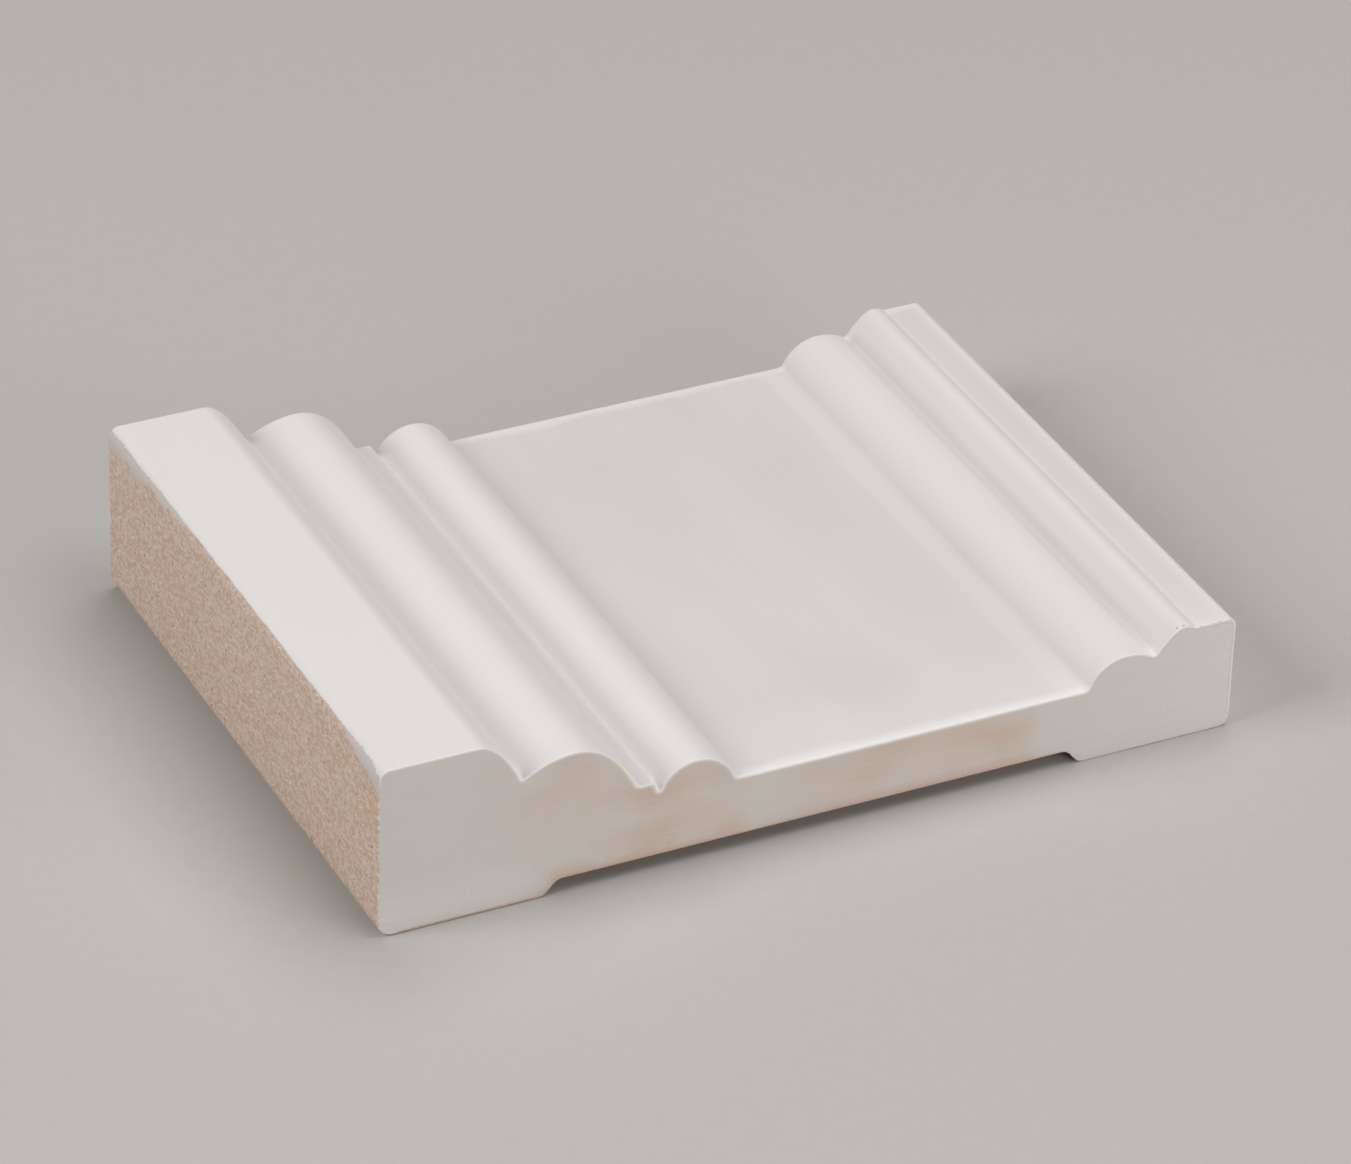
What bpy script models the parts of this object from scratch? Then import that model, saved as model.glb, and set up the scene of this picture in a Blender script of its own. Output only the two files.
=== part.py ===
"""Door casing: a short length of a wide MDF moulding, lying on its back.

Units are metres and +Z is up. X runs across the width: the thick outer edge is at -X and the
thin inner edge, which goes beside the door, is at +X. Y runs along the length, and both ends
are sawn square. The two back lands lie at z = 0, and the middle of the width and of the length
is at x = 0, y = 0.
"""
import math

import bmesh
import bpy

MM = 0.001

# The board that the moulding is milled from. Its field is the wide flat between the two groups
# of beads, and the heights below are counted up from it, group by group.
CASING_WIDTH = 139.7 * MM
CASING_LENGTH = 101.6 * MM
FIELD_THICKNESS = 12.7 * MM

# Arrises, the eased long edges
OUTER_ARRIS_RADIUS = 1.9 * MM
INNER_ARRIS_RADIUS = 1.4 * MM
BACK_ARRIS_RADIUS = 1.0 * MM

# Outer group, from the field out to the thick edge. A TURN says how far along the member's
# width, counted from its foot, the tangents of its two ends meet.
SMALL_BEAD_RADIUS = 6.5 * MM
SMALL_BEAD_RISE = 4.7 * MM
FILLET_RISE = 2.5 * MM
FILLET_WIDTH = 2.3 * MM
FILLET_QUIRK_DEPTH = 1.8 * MM
FILLET_QUIRK_SHOULDER = 0.9 * MM
BIG_BEAD_INNER_WIDTH = 10.2 * MM
BIG_BEAD_INNER_RISE = 8.7 * MM
BIG_BEAD_INNER_TURN = 0.47
BIG_BEAD_OUTER_WIDTH = 8.2 * MM
BIG_BEAD_OUTER_FALL = 2.7 * MM
BIG_BEAD_OUTER_TURN = 0.52
OVOLO_WIDTH = 8.5 * MM
OVOLO_RISE = 7.4 * MM
OVOLO_TURN = 0.38
OUTER_BAND_WIDTH = 13.9 * MM

# Inner group, from the field out to the thin edge
INNER_BEAD_FOOT_RADIUS = 1.2 * MM
INNER_BEAD_RADIUS = 7.2 * MM
INNER_BEAD_RISE = 4.4 * MM
INNER_BEAD_FALL_WIDTH = 4.9 * MM
INNER_BEAD_FALL = 1.4 * MM
NOSING_WIDTH = 4.5 * MM
NOSING_RISE = 3.85 * MM
NOSING_TURN = 0.8
NOSING_LIP_WIDTH = 1.7 * MM
NOSING_LIP_FALL = 0.9 * MM
LAND_QUIRK_WIDTH = 0.5 * MM
LAND_QUIRK_DEPTH = 0.4 * MM
INNER_LAND_WIDTH = 6.9 * MM

# Back relief, which lets the casing bridge an uneven joint between wall and jamb
OUTER_BACK_LAND_WIDTH = 26.2 * MM
INNER_BACK_LAND_WIDTH = 25.6 * MM
BACK_RELIEF_DEPTH = 2.5 * MM
BACK_SHOULDER_WIDTH = 2.2 * MM

# How finely the round stretches are cut into flats
STEPS_PER_ROUND = 20
STEPS_PER_ARRIS = 6

WELD_DISTANCE = 0.001 * MM
SHARP_EDGE_DEGREES = 25

PRIMER_WHITE = (0.71, 0.69, 0.67, 1.0)
PRIMER_ROUGHNESS = 0.6


def arc(centre, radius, start_degrees, end_degrees, steps):
    """Points along a circular arc about centre, both ends included."""
    points = []
    for step in range(steps + 1):
        degrees = start_degrees + (end_degrees - start_degrees) * step / steps
        angle = math.radians(degrees)
        points.append((centre[0] + radius * math.cos(angle), centre[1] + radius * math.sin(angle)))
    return points


def sweep(start, corner, end, steps):
    """Points along the smooth curve that leaves start and reaches end in line with corner."""
    points = []
    for step in range(steps + 1):
        t = step / steps
        points.append(tuple(
            (1 - t) ** 2 * start[axis] + 2 * t * (1 - t) * corner[axis] + t ** 2 * end[axis]
            for axis in range(2)))
    return points


def rise_to_crown(foot, crown, turn):
    """Points from a foot up to a level crown, whose tangents meet at this share of the width."""
    corner = (foot[0] + (crown[0] - foot[0]) * turn, crown[1])
    return sweep(foot, corner, crown, STEPS_PER_ROUND)


def outer_group():
    """Outline of the face from the outer edge to the foot of the small bead on the field."""
    edge_x = -CASING_WIDTH / 2
    fillet_z = FIELD_THICKNESS + FILLET_RISE
    crown_z = fillet_z + BIG_BEAD_INNER_RISE
    valley_z = crown_z - BIG_BEAD_OUTER_FALL
    band_z = valley_z + OVOLO_RISE

    arris_centre = (edge_x + OUTER_ARRIS_RADIUS, band_z - OUTER_ARRIS_RADIUS)
    band_end = (edge_x + OUTER_BAND_WIDTH, band_z)
    valley = (band_end[0] + OVOLO_WIDTH, valley_z)
    crown = (valley[0] + BIG_BEAD_OUTER_WIDTH, crown_z)
    fillet_start = (crown[0] + BIG_BEAD_INNER_WIDTH, fillet_z)
    fillet_end = (fillet_start[0] + FILLET_WIDTH, fillet_z)
    quirk = (fillet_end[0] + FILLET_QUIRK_SHOULDER, fillet_z - FILLET_QUIRK_DEPTH)

    points = arc(arris_centre, OUTER_ARRIS_RADIUS, 180, 90, STEPS_PER_ARRIS)
    points += reversed(rise_to_crown(valley, band_end, OVOLO_TURN))
    points += rise_to_crown(valley, crown, BIG_BEAD_OUTER_TURN)[1:]
    points += reversed(rise_to_crown(fillet_start, crown, BIG_BEAD_INNER_TURN)[:-1])
    points += [fillet_end, quirk]

    # The small bead is one arc, from the bottom of the quirk over its crown to the field
    bead_z = FIELD_THICKNESS + SMALL_BEAD_RISE - SMALL_BEAD_RADIUS
    quirk_tilt = math.asin((quirk[1] - bead_z) / SMALL_BEAD_RADIUS)
    field_tilt = math.asin((FIELD_THICKNESS - bead_z) / SMALL_BEAD_RADIUS)
    bead_centre = (quirk[0] + SMALL_BEAD_RADIUS * math.cos(quirk_tilt), bead_z)
    points += arc(bead_centre, SMALL_BEAD_RADIUS, 180 - math.degrees(quirk_tilt),
                  math.degrees(field_tilt), 2 * STEPS_PER_ROUND)[1:]
    return points


def inner_group():
    """Outline of the face from the field to the inner edge."""
    edge_x = CASING_WIDTH / 2
    crown_z = FIELD_THICKNESS + INNER_BEAD_RISE
    valley_z = crown_z - INNER_BEAD_FALL
    lip_z = valley_z + NOSING_RISE
    quirk_z = lip_z - NOSING_LIP_FALL
    land_z = quirk_z + LAND_QUIRK_DEPTH

    land_start = (edge_x - INNER_LAND_WIDTH, land_z)
    quirk = (land_start[0] - LAND_QUIRK_WIDTH, quirk_z)
    lip = (quirk[0] - NOSING_LIP_WIDTH, lip_z)
    valley = (lip[0] - NOSING_WIDTH, valley_z)
    crown = (valley[0] - INNER_BEAD_FALL_WIDTH, crown_z)

    # The bead runs into the field by a small hollow that touches both
    bead_centre = (crown[0], crown_z - INNER_BEAD_RADIUS)
    reach = INNER_BEAD_RADIUS + INNER_BEAD_FOOT_RADIUS
    hollow_z = FIELD_THICKNESS + INNER_BEAD_FOOT_RADIUS
    tilt = math.asin((hollow_z - bead_centre[1]) / reach)
    hollow_centre = (bead_centre[0] - reach * math.cos(tilt), hollow_z)
    tilt_degrees = math.degrees(tilt)
    points = arc(hollow_centre, INNER_BEAD_FOOT_RADIUS, -90, -tilt_degrees, STEPS_PER_ARRIS)
    points += arc(bead_centre, INNER_BEAD_RADIUS, 180 - tilt_degrees, 90, STEPS_PER_ROUND)[1:]

    fall_corner = (crown[0] + INNER_BEAD_FALL_WIDTH / 2, crown_z)
    points += sweep(crown, fall_corner, valley, STEPS_PER_ARRIS)[1:]
    points += rise_to_crown(valley, lip, NOSING_TURN)[1:]
    lip_corner = (lip[0] + NOSING_LIP_WIDTH / 2, lip_z)
    points += sweep(lip, lip_corner, quirk, STEPS_PER_ARRIS)[1:]
    points.append(land_start)

    arris_centre = (edge_x - INNER_ARRIS_RADIUS, land_z - INNER_ARRIS_RADIUS)
    points += arc(arris_centre, INNER_ARRIS_RADIUS, 90, 0, STEPS_PER_ARRIS)
    return points


def back():
    """Outline of the back from the inner edge to the outer edge."""
    edge_x = CASING_WIDTH / 2
    inner_arris = (edge_x - BACK_ARRIS_RADIUS, BACK_ARRIS_RADIUS)
    outer_arris = (-edge_x + BACK_ARRIS_RADIUS, BACK_ARRIS_RADIUS)
    inner_land_end = edge_x - INNER_BACK_LAND_WIDTH
    outer_land_end = -edge_x + OUTER_BACK_LAND_WIDTH
    points = arc(inner_arris, BACK_ARRIS_RADIUS, 0, -90, STEPS_PER_ARRIS)
    points.append((inner_land_end, 0.0))
    points.append((inner_land_end - BACK_SHOULDER_WIDTH, BACK_RELIEF_DEPTH))
    points.append((outer_land_end + BACK_SHOULDER_WIDTH, BACK_RELIEF_DEPTH))
    points.append((outer_land_end, 0.0))
    points += arc(outer_arris, BACK_ARRIS_RADIUS, -90, -180, STEPS_PER_ARRIS)
    return points


def primed_mdf():
    """White primer over medium density fibreboard."""
    material = bpy.data.materials.new("primed_mdf")
    material.use_nodes = True
    shader = material.node_tree.nodes["Principled BSDF"]
    shader.inputs["Base Color"].default_value = PRIMER_WHITE
    shader.inputs["Roughness"].default_value = PRIMER_ROUGHNESS
    shader.inputs["Metallic"].default_value = 0.0
    return material


def section_curve():
    """The moulding's cross-section as a flat filled outline, drawn out to the casing's length."""
    outline = outer_group() + inner_group() + back()
    curve = bpy.data.curves.new("door_casing_section", "CURVE")
    curve.dimensions = "2D"
    curve.fill_mode = "BOTH"
    curve.extrude = CASING_LENGTH / 2
    spline = curve.splines.new("POLY")
    spline.points.add(len(outline) - 1)
    for point, (x, z) in zip(spline.points, outline):
        point.co = (x, z, 0.0, 1.0)
    spline.use_cyclic_u = True
    return curve


def make_casing(collection):
    """The one piece: the drawn-out section made a closed mesh and stood on its back."""
    drawn = bpy.data.objects.new("drawn_section", section_curve())
    collection.objects.link(drawn)
    drawn.rotation_euler = (math.radians(90), 0.0, 0.0)
    bpy.context.view_layer.update()
    evaluated = drawn.evaluated_get(bpy.context.evaluated_depsgraph_get())
    mesh = bpy.data.meshes.new_from_object(evaluated)
    mesh.name = "door_casing"

    closed = bmesh.new()
    closed.from_mesh(mesh)
    bmesh.ops.remove_doubles(closed, verts=closed.verts, dist=WELD_DISTANCE)
    closed.to_mesh(mesh)
    closed.free()
    mesh.shade_smooth()
    mesh.set_sharp_from_angle(angle=math.radians(SHARP_EDGE_DEGREES))
    mesh.materials.clear()
    mesh.materials.append(primed_mdf())

    casing = bpy.data.objects.new("door_casing", mesh)
    casing.matrix_world = drawn.matrix_world
    collection.objects.link(casing)
    bpy.data.objects.remove(drawn, do_unlink=True)


def main():
    for old in list(bpy.data.objects):
        bpy.data.objects.remove(old, do_unlink=True)
    collection = bpy.data.collections.new("Door casing")
    bpy.context.scene.collection.children.link(collection)
    make_casing(collection)


main()
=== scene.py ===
"""Looks of a door casing: a short length of wide MDF moulding, sprayed with white primer.

Run as a script in Blender 4.5. Units are metres. X runs across the width from the thick outer
edge to the thin inner edge, Y along the length from the front sawn end to the rear one, and the
casing lies on its back at z = 0. The main sizes, the colours and the studio are properties, shown
in the sidebar, and the sizes of the members are named below.
"""

import math
from bisect import bisect
from collections import namedtuple
from functools import partial

import bpy
import numpy as np
from bpy.props import FloatProperty, FloatVectorProperty, PointerProperty
from mathutils import Matrix, Vector, noise
from mathutils.geometry import delaunay_2d_cdt


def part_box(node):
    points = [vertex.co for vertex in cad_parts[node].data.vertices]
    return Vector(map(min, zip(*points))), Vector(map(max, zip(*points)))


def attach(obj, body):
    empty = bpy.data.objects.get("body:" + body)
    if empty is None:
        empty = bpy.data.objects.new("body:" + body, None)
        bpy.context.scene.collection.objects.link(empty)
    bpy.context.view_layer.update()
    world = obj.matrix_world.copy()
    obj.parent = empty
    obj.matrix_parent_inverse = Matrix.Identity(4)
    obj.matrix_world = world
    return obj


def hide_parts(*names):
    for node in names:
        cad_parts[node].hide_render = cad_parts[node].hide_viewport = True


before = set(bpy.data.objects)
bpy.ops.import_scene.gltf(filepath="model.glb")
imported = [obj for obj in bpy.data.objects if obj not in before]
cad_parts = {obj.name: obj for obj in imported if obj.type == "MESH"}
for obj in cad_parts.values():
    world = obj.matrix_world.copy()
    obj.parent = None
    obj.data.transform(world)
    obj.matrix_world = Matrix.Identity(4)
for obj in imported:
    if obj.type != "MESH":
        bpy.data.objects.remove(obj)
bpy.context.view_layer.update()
CASING_LOW, CASING_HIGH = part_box("door_casing")

bl_info = {
    "name": "Primed door casing",
    "version": (1, 0, 0),
    "blender": (4, 5, 0),
    "location": "3D View > Sidebar > Casing",
    "description": "Builds a short length of primed MDF door casing and its studio",
    "category": "Object",
}

MM = 0.001
NO_LENGTH = 1e-9

# Outer group of members, counted from the field out to the thick edge. A TURN says how far
# along the member's width, counted from its foot, the tangents of its two ends meet.
SMALL_BEAD_RADIUS = 6.5 * MM
SMALL_BEAD_RISE = 4.7 * MM
FILLET_RISE = 2.5 * MM
FILLET_WIDTH = 2.7 * MM
FILLET_QUIRK_DEPTH = 1.8 * MM
FILLET_QUIRK_SHOULDER = 0.9 * MM
BIG_BEAD_INNER_WIDTH = 9.9 * MM
BIG_BEAD_INNER_RISE = 8.7 * MM
BIG_BEAD_INNER_TURN = 0.43
BIG_BEAD_OUTER_WIDTH = 8.5 * MM
BIG_BEAD_OUTER_FALL = 2.7 * MM
BIG_BEAD_OUTER_TURN = 0.52
OVOLO_WIDTH = 7.0 * MM
OVOLO_RISE = 7.4 * MM
OVOLO_TURN = 0.5
OUTER_BAND_WIDTH = 15.4 * MM

# Inner group of members, counted from the field out to the thin edge
INNER_BEAD_FOOT_RADIUS = 1.2 * MM
INNER_BEAD_RADIUS = 6.7 * MM
INNER_BEAD_RISE = 4.4 * MM
INNER_BEAD_FALL_WIDTH = 4.9 * MM
INNER_BEAD_FALL = 1.4 * MM
NOSING_WIDTH = 4.7 * MM
NOSING_RISE = 4.1 * MM
NOSING_TURN = 0.65
NOSING_LIP_WIDTH = 2.0 * MM
NOSING_LIP_FALL = 0.6 * MM
LAND_QUIRK_WIDTH = 0.5 * MM
INNER_LAND_WIDTH = 6.4 * MM

# Long arrises and the relief along the back
OUTER_ARRIS_RADIUS = 1.9 * MM
INNER_ARRIS_RADIUS = 1.4 * MM
OUTER_BACK_ARRIS_RADIUS = 2.5 * MM
INNER_BACK_ARRIS_RADIUS = 1.5 * MM
OUTER_BACK_LAND_WIDTH = 26.2 * MM
INNER_BACK_LAND_WIDTH = 25.6 * MM
BACK_RELIEF_DEPTH = 2.5 * MM
BACK_SHOULDER_WIDTH = 2.2 * MM

# How closely the surface is divided. The grid that closes a sawn end has columns of one width,
# and rows that grow from the top down to a limit.
CURVE_SPACING = 0.42 * MM
FINE_SPACING = 0.2 * MM
FLAT_SPACING = 1.0 * MM
LENGTH_SPACING = 0.9 * MM
END_SPACING = 0.3 * MM
END_STRETCH = 3.0 * MM
LEAST_CURVE_STEPS = 4
ARRIS_STEPS = 4
CORNER_STEPS = 5
END_COLUMN = 0.8 * MM
END_ROW_GROWTH = 1.4
END_ROW_LIMIT = 2.5 * MM
END_CLEARANCE = 0.7 * END_COLUMN
TRIANGLES_INSIDE = 1

# A point counts as facing up or down from this much of its normal
FACING = 0.05

# The primer rounds each corner that turns more than this, over at most this share of the shorter
# member beside it
CORNER_DEGREES = 14
CORNER_SHARE = 0.4

# How much of the primer's full white each member keeps; a lower share paints it greyer. This is
# painted shade, laid over the recessed field, the hollow at the foot of the inner bead, the
# nosing's valley, the land's quirk and the inner land, where the members beside them shade them,
# and over the fillet's far half beside its quirk, against the light on its rounded corner. A strip
# of the field beside the inner bead gets less of it, and towards the front end it fades, as
# painted light from the front.
FULL_COAT = 1.0
FILLET_SHADED_COAT = 0.6
FIELD_SHADED_COAT = 0.25
STRIP_SHADED_COAT = 0.45
HOLLOW_SHADED_COAT = 0.2
VALLEY_SHADED_COAT = 0.0
LAND_SHADED_COAT = 0.35
NO_COAT = 0.0
STRIP_WIDTH = 3.0 * MM
COAT_SHADE_BLEND = 0.9 * MM
FRONT_PAINTED_LIGHT = 0.4
FRONT_PAINTED_LIGHT_LENGTH = 18.0 * MM

# How far along the fillet, the inner bead's fall and the nosing's rise the painted shade changes
FILLET_SPLIT = 0.5
FALL_SPLIT = 0.72
RISE_SPLIT = 0.2

# The full coat along both sawn ends, where the painted shade and the clouds fade out. Its width
# swings by this share over this length, and the painted shade starts to come in this share of its
# width from the end.
FAT_EDGE = 2.0 * MM
FAT_EDGE_SWING = 0.5
FAT_EDGE_WAVE = 7 * MM
FAT_EDGE_START = 0.25

# How the coat of primer varies over the flats, in clouds that are longer along the length. The
# noise takes its smoothness, the growth of each octave and how many there are.
CLOUD_LENGTH = 14 * MM
CLOUD_SQUEEZE = 0.6
CLOUD_DEPTH = 0.15
CLOUD_NOISE = (1.0, 2.0, 2)

# Primer that pooled in the quirks, and how far from a sawn end they are full. A place is hollow
# where the outline turns in by more than this between the points this far to each side.
POOL_REACH = 2.8 * MM
POOL_START = 3.5 * MM
POOL_STRENGTH = 4
HOLLOW_REACH = 1.2 * MM
HOLLOW_DEGREES = 45
HOLLOW_BLEND = 0.5 * MM

# Small lumps in the arris of a sawn end, and how far its width evens out along the outline
LUMP_SIZE = 1.6 * MM
LUMP_SHARE = 0.3
ARRIS_BLEND = 1.0 * MM

# The primer's roll over the front end of the field, by the coat there: deepest in the hollow at
# the foot of the inner bead
LIP_WIDTH = 1.8 * MM
LIP_DROPS = {FIELD_SHADED_COAT: 0.32 * MM, STRIP_SHADED_COAT: 0.36 * MM, HOLLOW_SHADED_COAT: 0.5 * MM}

# Where the primer stops on the outer arris. The distances are counted around the arris from its
# middle towards the raw edge, and the haze is the strip where the primer thins out. The surface
# steps down to the board over the ramp, in millimetres, from that share of it past the lap.
LAP_MIDDLE = -0.35 * MM
LAP_WANDER = 0.25 * MM
LAP_WAVE = 6 * MM
LAP_RIPPLE = 0.6
LAP_RAMP = 0.4
LAP_RAMP_START = 0.2
FRONT_LAP = 1.0 * MM
FRONT_LAP_LENGTH = 4.0 * MM
HAZE = 0.25 * MM
HAZE_SWING = 0.8
LEAST_HAZE = 0.05 * MM
FRONT_HAZE = 3.0 * MM
FRONT_HAZE_LENGTH = 17.0 * MM
REAR_HAZE = 3.4 * MM
REAR_HAZE_LENGTH = 34.0 * MM
FLAKE_LENGTH = 2.2 * MM
FLAKE_SWING = 0.9
LEAST_FLAKES = 0.1

# Dents at the front end of the nosing, as x, distance from the end and radius in millimetres
DENTS = ((59.9, 0.7, 0.18), (60.8, 0.5, 0.22), (61.2, 0.45, 0.2), (62.0, 0.2, 0.2))
DENT_DEPTH = 0.1 * MM

# Where the front end of the thin edge is rubbed through, and primer dust on the raw edge's front
# arris, which thins out upwards, to nothing at this many widths of the casing
WORN_WIDTH = 6.5 * MM
WORN_LENGTH = 0.35 * MM
WORN_EDGE = 0.5
DUST_LENGTH = 0.6 * MM
DUST_WIDTHS = 5

# Overspray on the sawn ends, by x in millimetres: share of board showing, and how heavy the dust
# is. The board shows in clouds this wide and high, and between these depths under the face, in
# millimetres, it drops to this share.
BARE_SHARES = ((-69.9, 0.1), (-52, 0.18), (-43, 0.5), (-32, 0.5), (-29, 0.6), (-25, 0.58),
               (-20, 0.52), (-13, 0.5), (-10, 0.25), (-4, 0.38), (6, 0.56), (18, 0.64), (31, 0.66),
               (35.5, 0.5), (38, 0.15), (48, 0.0))
HEAVY_SHARES = ((-69.9, 0.62), (-46, 0.56), (-42, 0.0), (36, 0.1), (48, 0.4), (69.9, 0.58))
END_CLOUD = (9 * MM, 4 * MM)
END_CLOUD_DEPTH = 0.7
UNDER_FACE = (7.0, 15.0)
UNDER_FACE_SHARE = 0.4

# Board rubbed bare beside the relief, by millimetres from the back, and the x over which the
# brown line along the back fades out
RELIEF_BAND = (0.4, 1.8)
RELIEF_SHOWING = 0.9
BACK_LINE_END = (40.0, 44.0)

# Height over which the heavy dust at the foot of the thick half fades out, and by how much
FOOT_DUST_HEIGHT = 10.0 * MM
FOOT_DUST_FADE = 0.5

# Typical of paint and of fibreboard
MATT_IOR = 1.48

# Sizes of the patterns in the finishes, in millimetres, and how many times longer a STRETCH makes
# them along the casing
FIBRE_STRETCH = 1.8
FIBRE_PATCH = 1.5
FIBRE_BUNDLE = 0.5
LOOSE_FIBRE = 0.4
BARK_SPACING = 2.2
LAP_TEETH = 0.55
PRIMER_LINE = 0.8
PRIMER_LINE_STRETCH = 40
PRIMER_PEEL = 0.8
WORN_DOTS = 0.4
DUST_GRAIN = 0.5
PRESSED_LAYER = (7, 0.5)
END_GRAIN = 0.35
CUTTER_LINE = (0.6, 60)
ROLLER_MOTTLE = 2.5

# The table and how its mottle darkens it, then the soft boxes, all aimed at the casing: place,
# width and depth in metres
TABLE_SIZE = 6.0
MOTTLE_SHADE = 0.985
SOFT_BOXES = (
    ("overhead", (0.38, 0.04, 1.08), 1.6, 0.8),
    ("side", (-0.97, 0.0, 0.7), 0.6, 0.6),
    ("front", (0.4, -1.08, 0.3), 0.9, 0.5),
)

# Material of each part of the skin, and what the mesh carries at its points for the materials
SLOTS = {"face": 0, "edge": 1, "end": 2, "back": 3}
MARKS = ("coat", "lap", "haze", "worn", "dusted", "showing", "heavy", "from_face", "from_bare")

# Different places in the noise, so that no two patterns follow each other, and the noise's mean
WAVE_SEED, RIPPLE_SEED, FLAKE_SEED, HAZE_SEED = 3.7, 5.1, 9.3, 7.9
FAT_EDGE_SEED, CLOUD_SEED, END_CLOUD_SEED = 1.3, 4.1 * MM, 2.7
NOISE_MEAN = 0.5

Member = namedtuple("Member", "finish coat points")
Spot = namedtuple("Spot", "x z finish coat")


def linear(hex_colour):
    """sRGB hex to the linear colour, with its alpha, that shaders take."""
    channels = [int(hex_colour[place:place + 2], 16) / 255 for place in (0, 2, 4)]
    return (*(c / 12.92 if c <= 0.04045 else ((c + 0.055) / 1.055) ** 2.4 for c in channels), 1.0)


def colour_property(name, description, hex_colour):
    return FloatVectorProperty(name=name, description=description, subtype="COLOR", size=4,
                               min=0.0, max=1.0, default=linear(hex_colour))


def length_property(name, description, default):
    return FloatProperty(name=name, description=description, default=default, unit="LENGTH")


def watts_property(name, description, default):
    return FloatProperty(name=name, description=description + ", in watts", default=default,
                         min=0.0)


class CasingSizes(bpy.types.PropertyGroup):
    """Overall sizes of the casing and of its primer coat."""

    width: length_property("Width", "From the outer edge to the inner edge",
                           CASING_HIGH[0] - CASING_LOW[0])
    length: length_property("Length", "Between the two sawn ends",
                            CASING_HIGH[1] - CASING_LOW[1])
    field_thickness: length_property("Field thickness", "From the back to the wide flat field",
                                     12.7 * MM)
    primer_fill: length_property("Primer fill", "How far the primer rounds out each quirk",
                                 0.7 * MM)
    primed_arris: length_property("Primed arris", "Radius of the primed edge at a sawn end",
                                  0.1 * MM)
    pooled_arris: length_property("Pooled arris", "Radius of that edge at the foot of a quirk",
                                  0.4 * MM)
    bare_arris: length_property("Bare arris", "Radius of an unprimed edge at a sawn end",
                                0.2 * MM)
    primer_step: length_property("Primer step", "Height of the broken edge of the primer",
                                 0.1 * MM)


class CasingFinish(bpy.types.PropertyGroup):
    """Colours of the primer and of the board under it."""

    primer: colour_property("Primer", "Sprayed white primer, full coat", "E3DFDD")
    # Also the colour of the painted shade on the field, hollows, valleys and inner land, besides
    # random clouds and lines of thinner primer
    primer_thin_and_shaded: colour_property("Sanded primer", "Primer where sanding thinned the coat",
                                 "D1CDCA")
    primer_haze: colour_property("Primer haze", "Primer too thin to hide the board", "CCC5C0")
    overspray: colour_property("Overspray", "Primer dust on the sawn ends", "CDC7C2")
    overspray_pale: colour_property("Heavy overspray", "Thicker primer dust", "DEDAD7")
    board: colour_property("Board", "Bare fibreboard", "D4BFB0")
    board_dark: colour_property("Dark fibres", "Darker fibres in the board", "C7AA94")
    board_pale: colour_property("Pale fibres", "Pale fibres in the board", "D4CAC4")
    fleck: colour_property("Flecks", "Near-white flecks of fibre", "E2DEDB")
    speck: colour_property("Specks", "Dark specks of bark", "746E68")


class StudioSettings(bpy.types.PropertyGroup):
    """Camera, light and floor."""

    azimuth: FloatProperty(
        name="Azimuth", description="Camera turn about the casing, 0 looks along +Y",
        default=math.radians(-26.96), subtype="ANGLE")
    elevation: FloatProperty(
        name="Elevation", description="Camera height above the floor's plane",
        default=math.radians(32.44), subtype="ANGLE")
    roll: FloatProperty(
        name="Roll", description="Camera turn about its own line of sight",
        default=math.radians(2.04), subtype="ANGLE")
    distance: length_property("Distance", "From the camera to the middle of the view", 1.048)
    aim_right: length_property("Aim right", "Middle of the view, to the right of the origin",
                               1.55 * MM)
    aim_up: length_property("Aim up", "Middle of the view, above the origin", 11.19 * MM)
    lens: FloatProperty(
        name="Lens", description="Focal length in millimetres on a 36 mm wide sensor",
        default=183.6)
    overhead_power: watts_property("Overhead light", "Power of the soft box overhead", 9.95)
    side_power: watts_property("Side light", "Power of the soft box on the thick side", 8.1)
    front_power: watts_property("Front light", "Power of the low soft box in front", 6.9)
    room: FloatProperty(
        name="Room light", description="Strength of the even light from the room", default=0.04)
    floor: colour_property("Floor", "Plain pale table top", "BDBAB6")


def arc(centre, radius, start_degrees, end_degrees, spacing=CURVE_SPACING):
    """Points along a circular arc, both ends included."""
    swept = math.radians(end_degrees - start_degrees)
    steps = max(LEAST_CURVE_STEPS, round(abs(swept) * radius / spacing))
    angles = [math.radians(start_degrees) + swept * step / steps for step in range(steps + 1)]
    return [(centre[0] + radius * math.cos(angle), centre[1] + radius * math.sin(angle))
            for angle in angles]


def sweep(start, corner, end, spacing=CURVE_SPACING, steps=0):
    """Points along the smooth curve that leaves start and reaches end in line with corner."""
    steps = steps or max(LEAST_CURVE_STEPS, round(math.dist(start, end) / spacing))
    points = []
    for step in range(steps + 1):
        t = step / steps
        points.append(tuple(
            (1 - t) ** 2 * start[axis] + 2 * t * (1 - t) * corner[axis] + t ** 2 * end[axis]
            for axis in range(2)))
    return points


def rise_to_crown(foot, crown, turn, spacing=CURVE_SPACING):
    """Points from a foot up to a level crown, whose tangents meet at this share of the width."""
    return sweep(foot, (foot[0] + (crown[0] - foot[0]) * turn, crown[1]), crown, spacing)


def line(start, end):
    """Points along a flat, both ends included."""
    steps = max(1, round(math.dist(start, end) / FLAT_SPACING))
    return [tuple(start[axis] + (end[axis] - start[axis]) * step / steps for axis in range(2))
            for step in range(steps + 1)]


def cut_at(points, share):
    """Two stretches that meet at the point this share of the way along."""
    place = max(1, round(share * (len(points) - 1)))
    return points[:place + 1], points[place:]


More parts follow.
